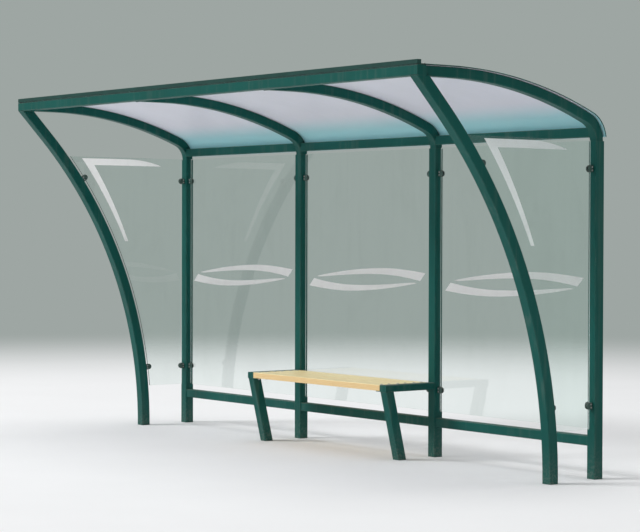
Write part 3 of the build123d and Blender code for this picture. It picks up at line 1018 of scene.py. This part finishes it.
def clamp_seats():
    """For each pane, every clamp's middle at the frame, direction to the glass and face's direction."""
    seats = {}
    for index in range(BAYS):
        ends = ((POST_X[index], 1), (POST_X[index + 1], -1))
        seats[f"rear_{index + 1}"] = [
            ((x + way * HALF, REAR, level), (way, 0, 0), (0, -1, 0))
            for level in CLAMP_LEVELS
            for x, way in ends
        ]
    for side, x in zip(SIDES, (POST_X[0], POST_X[-1])):
        rows = []
        for level in CLAMP_LEVELS:
            y, turn = behind_leg(level, HALF)
            rows.append(((x, REAR - HALF, level), (0, -1, 0), (1, 0, 0)))
            rows.append(((x, y, level), (0, math.cos(turn), math.sin(turn)), (1, 0, 0)))
        seats[f"side_{side}"] = rows
    return {label: np.array(rows, float) for label, rows in seats.items()}


class SHELTER_OT_clamp_screws(Operator):
    """Two socket screws on each face of every pane clamp"""
    bl_idname = "shelter.clamp_screws"
    bl_label = "Clamp screws"

    def execute(self, context):
        metal = context.scene.shelter_metal
        head = button_head(metal.head_radius, metal.head_height)
        for label, rows in clamp_seats().items():
            origins, turns = [], []
            for spot, way, face in rows:
                middle = spot + way * metal.screw_place
                beside = np.cross(face, way) * metal.screw_apart / 2
                for out in (face, -face):
                    for shift in (beside, -beside):
                        origins.append(middle + shift + out * CLAMP_THICK / 2)
                        turns.append(np.stack([way, np.cross(out, way), out], -1))
            screws = repeated(head, origins, turns)
            piece(f"clamp_screws_{label}", screws, made_before("Stainless steel"))
        return {"FINISHED"}


class SHELTER_OT_clamp_pads(Operator):
    """Rubber lip between each clamp and the glass"""
    bl_idname = "shelter.clamp_pads"
    bl_label = "Clamp pads"

    def execute(self, context):
        nose, samples = CLAMP_HEIGHT / 2, 25
        turn = np.linspace(-math.pi / 2, math.pi / 2, samples)
        along = np.concatenate([[PANE_GAP], CLAMP_REACH - nose + nose * np.cos(turn), [PANE_GAP]])[:, None]
        beside = np.concatenate([[-nose], nose * np.sin(turn), [nose]])[:, None]
        for label, rows in clamp_seats().items():
            paths, normals = [], []
            for spot, way, face in rows:
                for out in (face, -face):
                    paths.append(spot + out * GLASS / 2 + along * way + beside * np.cross(face, way))
                    normals.append(np.broadcast_to(out, paths[-1].shape))
            pads = lips(paths, normals, context.scene.shelter_metal.pad_lip)
            piece(f"clamp_pads_{label}", pads, made_before("Black rubber"))
        return {"FINISHED"}


class SHELTER_OT_cap_screws(Operator):
    """Six-sided screws with washers along each roof cap"""
    bl_idname = "shelter.cap_screws"
    bl_label = "Roof cap screws"

    def execute(self, context):
        roof = context.scene.shelter_roof
        head = hex_head(roof.screw_across, roof.screw_radius, tall=0.45, plate=0.16)
        knee_start = ROOF_STOPS[2]
        count = int((knee_start - roof.first_screw - roof.knee_clear) / roof.screw_spacing) + 1
        lengths = roof.first_screw + np.arange(count) * roof.screw_spacing
        spots, outward = roof_points(HALF_CROSS + SHEET + CAP_THICK, lengths)
        up = np.column_stack([np.zeros(count), outward])
        side = np.tile([1.0, 0, 0], (count, 1))
        turns = np.stack([side, np.cross(up, side), up], -1)
        for index, name in enumerate(numbered("roof_cap", POSTS), 1):
            origins = np.column_stack([np.full(count, sum(corners(name))[0] / 2), spots])
            screws = repeated(head, origins, turns)
            piece(f"cap_screws_{index}", screws, made_before("Stainless steel"))
        return {"FINISHED"}


class SHELTER_OT_cap_seals(Operator):
    """Rubber lips beside the roof caps, pressed on the sheets"""
    bl_idname = "shelter.cap_seals"
    bl_label = "Roof cap seals"

    def execute(self, context):
        roof = context.scene.shelter_roof
        samples = 130
        lengths = np.linspace(roof.lip_start, ROOF_STOPS[-1] - roof.lip_short, samples)
        spots, outward = roof_points(HALF_CROSS + SHEET + roof.lip * 0.05, lengths)
        normals = np.column_stack([np.zeros(samples), outward])
        for index, name in enumerate(numbered("roof_cap", POSTS), 1):
            paths = [np.column_stack([np.full(samples, end[0]), spots]) for end in corners(name)]
            seals = lips(paths, [normals] * len(paths), roof.lip / 2)
            piece(f"cap_seals_{index}", seals, made_before("Black rubber"))
        return {"FINISHED"}


class SHELTER_OT_seat_bolts(Operator):
    """Cup-head bolts through the seat boards, with washers and nuts under the ledges"""
    bl_idname = "shelter.seat_bolts"
    bl_label = "Seat bolts"

    def execute(self, context):
        seat = context.scene.shelter_seat
        tops, feet = [], []
        for name in numbered("bench_board", BOARDS):
            low, high = corners(name)
            for x in (low[0] + seat.bolt_inset, high[0] - seat.bolt_inset):
                for share in (seat.bolt_side, 1 - seat.bolt_side):
                    y = low[1] + (high[1] - low[1]) * share
                    tops.append((x, y, high[2]))
                    feet.append((x, y, ledge_low[2]))
        bolt = cup_head(seat.bolt_radius, seat.bolt_height)
        nut = hex_head(seat.nut_across, seat.bolt_radius, tall=0.55, plate=0.1)
        upright, hanging = np.eye(3), np.diag([1.0, -1.0, -1.0])
        for name, head, origins, turn in (
            ("bench_bolts", bolt, tops, upright),
            ("bench_nuts", nut, feet, hanging),
        ):
            heads = repeated(head, origins, [turn] * len(origins))
            piece(name, heads, made_before("Stainless steel"))
        return {"FINISHED"}


def bead_ring(x, y_ends, z_ends, sides=("bottom", "street", "top", "rear")):
    """Lines round a section that meets a face at x."""
    (y0, y1), (z0, z1) = y_ends, z_ends
    lines = {
        "top": ((x, y0, z1), (x, y1, z1)),
        "bottom": ((x, y0, z0), (x, y1, z0)),
        "street": ((x, y0, z0), (x, y0, z1)),
        "rear": ((x, y1, z0), (x, y1, z1)),
    }
    return [lines[side] for side in sides]


def level_bead(x, half, y, z):
    """Line straight across a tube."""
    return (x - half, y, z), (x + half, y, z)


def rear_beads(short):
    """Lines where the rails meet the posts and where the beams meet the ribs."""
    rails, beams = [], []
    for index in range(BAYS):
        for x, inward in ((POST_X[index], 1), (POST_X[index + 1], -1)):
            ends = (rail_low[1], rail_high[1]), (rail_low[2], rail_high[2])
            rails += bead_ring(x + inward * HALF, *ends)
            ends = (beam_low[1] + short, beam_high[1]), (beam_low[2], beam_high[2])
            beams += bead_ring(x + inward * HALF_CROSS, *ends, ("top", "bottom"))
    return rails, beams


def front_beads(short):
    """Lines where the ribs and the front legs meet the header."""
    half = HALF_CROSS - short
    back, under = float(header_high[1]), float(header_low[2])
    lines = []
    for x in POST_X:
        for side in (-HALF_CROSS, HALF_CROSS):
            lines.append(((x + side, back, under + short), (x + side, back, under + CROSS - short)))
        lines.append(level_bead(x, half, back, under))
    street = float(header_low[1])
    heel = street + TUBE / math.cos(LEG_LEAN)
    corner = 0.006
    for x, inner in ((-LEG_X, HALF), (LEG_X, -HALF)):
        lines.append(((x + inner, street + corner, under), (x + inner, back, under)))
        lines.append(level_bead(x, half, heel, under))
    return lines


def bench_beads(short):
    """Lines where the bench's arms meet the posts, its legs and its ledges."""
    half = HALF_CROSS - short
    leg_depth, leg_inset = 0.066, 0.002
    ledge_front, ledge_back = 0.050, 0.030
    lines = []
    for side, x, inward in (("left", POST_X[1], 1), ("right", POST_X[2], -1)):
        low, high = corners(f"bench_arm_{side}")
        knee = corners(f"bench_leg_{side}")[0][1] + leg_inset
        lines += [level_bead(x, half, high[1], z) for z in (low[2], high[2])]
        lines += [level_bead(x, half, y, low[2]) for y in (knee, knee + leg_depth)]
        edge = x + inward * HALF_BENCH
        lines.append(((edge, low[1] + ledge_front, low[2]), (edge, high[1] - ledge_back, low[2])))
    return lines


class SHELTER_OT_welds(Operator):
    """Weld beads where rails, beams, ribs, legs and the bench frame meet"""
    bl_idname = "shelter.welds"
    bl_label = "Weld beads"

    def execute(self, context):
        metal = context.scene.shelter_metal
        rails, beams = rear_beads(metal.bead_short)
        groups = {"rails": rails, "beams": beams}
        groups["front"] = front_beads(metal.bead_short)
        groups["bench"] = bench_beads(metal.bead_short)
        for label, lines in groups.items():
            bead = beads(lines, metal.bead, metal.bead_pitch)
            piece(f"welds_{label}", bead, made_before("Green paint"))
        return {"FINISHED"}


# Studio

KEY_SIZE, KEY_SPOT, KEY_AIM = (13.0, 10.0), (-18.0, -27.0, 22.0), (0, 0, 1.1)
TOP_SIZE, TOP_SPOT, TOP_AIM = (18.0, 13.0), (-0.5, 0.3, 25.0), (0, 0, 0)
CAMERA_SPOT = (11.041, -8.1369, 1.528)
CAMERA_TURNS = (52.562, -1.051, 0.152)
FOCAL_PIXELS = 2019.3
FRAME_PIXELS = 640.0


class SHELTER_OT_stage(Operator):
    """Pale floor, even backdrop, two soft lamps and the camera"""
    bl_idname = "shelter.stage"
    bl_label = "Studio"

    def execute(self, context):
        scene = context.scene
        stage = scene.shelter_stage
        build_floor(stage)
        build_world(stage)
        build_lamp("Key", stage.key_power, KEY_SIZE, KEY_SPOT, KEY_AIM)
        build_lamp("Top", stage.top_power, TOP_SIZE, TOP_SPOT, TOP_AIM)
        scene.camera = build_camera()
        scene.view_settings.view_transform = "Standard"
        return {"FINISHED"}


def build_floor(stage, reach=17.0, rings=24, around=96, drop=0.0005):
    """Level disc: radius grows evenly from the middle, angle goes once round."""
    angle = full_turn(around)
    radius = np.linspace(0.02, reach, rings)[:, None]
    flat = np.stack([radius * np.cos(angle), radius * np.sin(angle), np.full((rings, around), -drop)], -1)
    faces = grid_faces(rings, around, round_columns=True).tolist() + [list(range(around))]
    made, nodes, shader = finish("Studio floor", {"Specular IOR Level": 0.0, "Roughness": 0.9})
    place = nodes.place()
    mottle = nodes.noise(nodes.vector("ADD", place, (stage.seed, 0, 0)), 1.3, detail=3)
    dim = [channel * 0.96 for channel in stage.floor]
    nodes.feed(shader["Base Color"], nodes.blend(mottle, stage.floor, dim))
    away = nodes.vector("LENGTH", place)
    nodes.feed(shader["Alpha"], nodes.band(away, reach * 0.97, reach * 0.36))
    mesh = bpy.data.meshes.new("studio_floor")
    mesh.from_pydata(flat.reshape(-1, 3).tolist(), [], faces)
    mesh.materials.append(made)
    floor = bpy.data.objects.new("studio_floor", mesh)
    bpy.context.scene.collection.objects.link(floor)


def build_world(stage):
    """Even light all round; the camera, reflections and clear pieces see the pale backdrop."""
    world = bpy.data.worlds.new("Studio")
    bpy.context.scene.world = world
    world.use_nodes = True
    world.node_tree.nodes.clear()
    nodes = Tree(world.node_tree)
    rays = nodes.add("ShaderNodeLightPath").outputs
    seen = nodes.maths("MAXIMUM", rays["Is Camera Ray"], rays["Is Glossy Ray"])
    seen = nodes.maths("MAXIMUM", seen, rays["Is Transmission Ray"])
    light = nodes.add("ShaderNodeBackground", {"Color": (1, 1, 1), "Strength": stage.fill})
    backdrop = nodes.add("ShaderNodeBackground", {"Color": stage.backdrop, "Strength": 1.0})
    both = nodes.add("ShaderNodeMixShader", {0: seen, 1: light.outputs[0], 2: backdrop.outputs[0]})
    nodes.add("ShaderNodeOutputWorld", {"Surface": both.outputs[0]})


def build_lamp(name, power, size, spot, aim):
    """Soft rectangular lamp at a spot, turned to its aim."""
    lamp = bpy.data.lights.new(name, "AREA")
    lamp.shape = "RECTANGLE"
    lamp.size, lamp.size_y = size
    lamp.energy = power
    made = bpy.data.objects.new(name, lamp)
    bpy.context.scene.collection.objects.link(made)
    made.location = spot
    made.rotation_euler = (Vector(aim) - Vector(spot)).to_track_quat("-Z", "Y").to_euler()


def build_camera():
    """Camera at the photograph's place: yaw from the rear line, a slight tilt down and a hair of roll."""
    data = bpy.data.cameras.new("Camera")
    data.sensor_width = 36.0
    data.lens = FOCAL_PIXELS / FRAME_PIXELS * data.sensor_width
    data.clip_start, data.clip_end = 0.1, 200.0
    yaw, pitch, roll = (math.radians(turn) for turn in CAMERA_TURNS)
    ahead = Vector((-math.sin(yaw) * math.cos(pitch), math.cos(yaw) * math.cos(pitch), math.sin(pitch)))
    right = Vector((math.cos(yaw), math.sin(yaw), 0))
    up = right.cross(ahead)
    rolled_right = right * math.cos(roll) + up * math.sin(roll)
    rolled_up = up * math.cos(roll) - right * math.sin(roll)
    turn = Matrix((rolled_right, rolled_up, -ahead)).transposed().to_4x4()
    camera = bpy.data.objects.new("Camera", data)
    bpy.context.scene.collection.objects.link(camera)
    camera.matrix_world = Matrix.Translation(CAMERA_SPOT) @ turn
    return camera


STEPS = (
    SHELTER_OT_stage,
    SHELTER_OT_paint,
    SHELTER_OT_glass,
    SHELTER_OT_roof,
    SHELTER_OT_clamps,
    SHELTER_OT_seat,
    SHELTER_OT_side_stripes,
    SHELTER_OT_rear_stripes,
    SHELTER_OT_clamp_screws,
    SHELTER_OT_clamp_pads,
    SHELTER_OT_cap_screws,
    SHELTER_OT_cap_seals,
    SHELTER_OT_seat_bolts,
    SHELTER_OT_welds,
)


class SHELTER_PT_panel(Panel):
    """Sizes, colours and steps of the bus shelter"""
    bl_idname = "SHELTER_PT_panel"
    bl_label = "Bus shelter"
    bl_space_type = "VIEW_3D"
    bl_region_type = "UI"
    bl_category = "Shelter"

    def draw(self, context):
        for name, group in GROUPS.items():
            box = self.layout.box()
            for key in group.__annotations__:
                box.prop(getattr(context.scene, name), key)
        for step in STEPS:
            self.layout.operator(step.bl_idname)


CLASSES = (*GROUPS.values(), *STEPS, SHELTER_PT_panel)


def register():
    """Register the settings, the steps and the panel."""
    for kind in CLASSES:
        bpy.utils.register_class(kind)
    for name, group in GROUPS.items():
        setattr(bpy.types.Scene, name, PointerProperty(type=group))


def unregister():
    """Take the settings, the steps and the panel away again."""
    for name in GROUPS:
        delattr(bpy.types.Scene, name)
    for kind in reversed(CLASSES):
        bpy.utils.unregister_class(kind)


def main():
    """Run every step in order."""
    register()
    for step in STEPS:
        area, name = step.bl_idname.split(".")
        getattr(getattr(bpy.ops, area), name)()


if __name__ == "__main__":
    main()
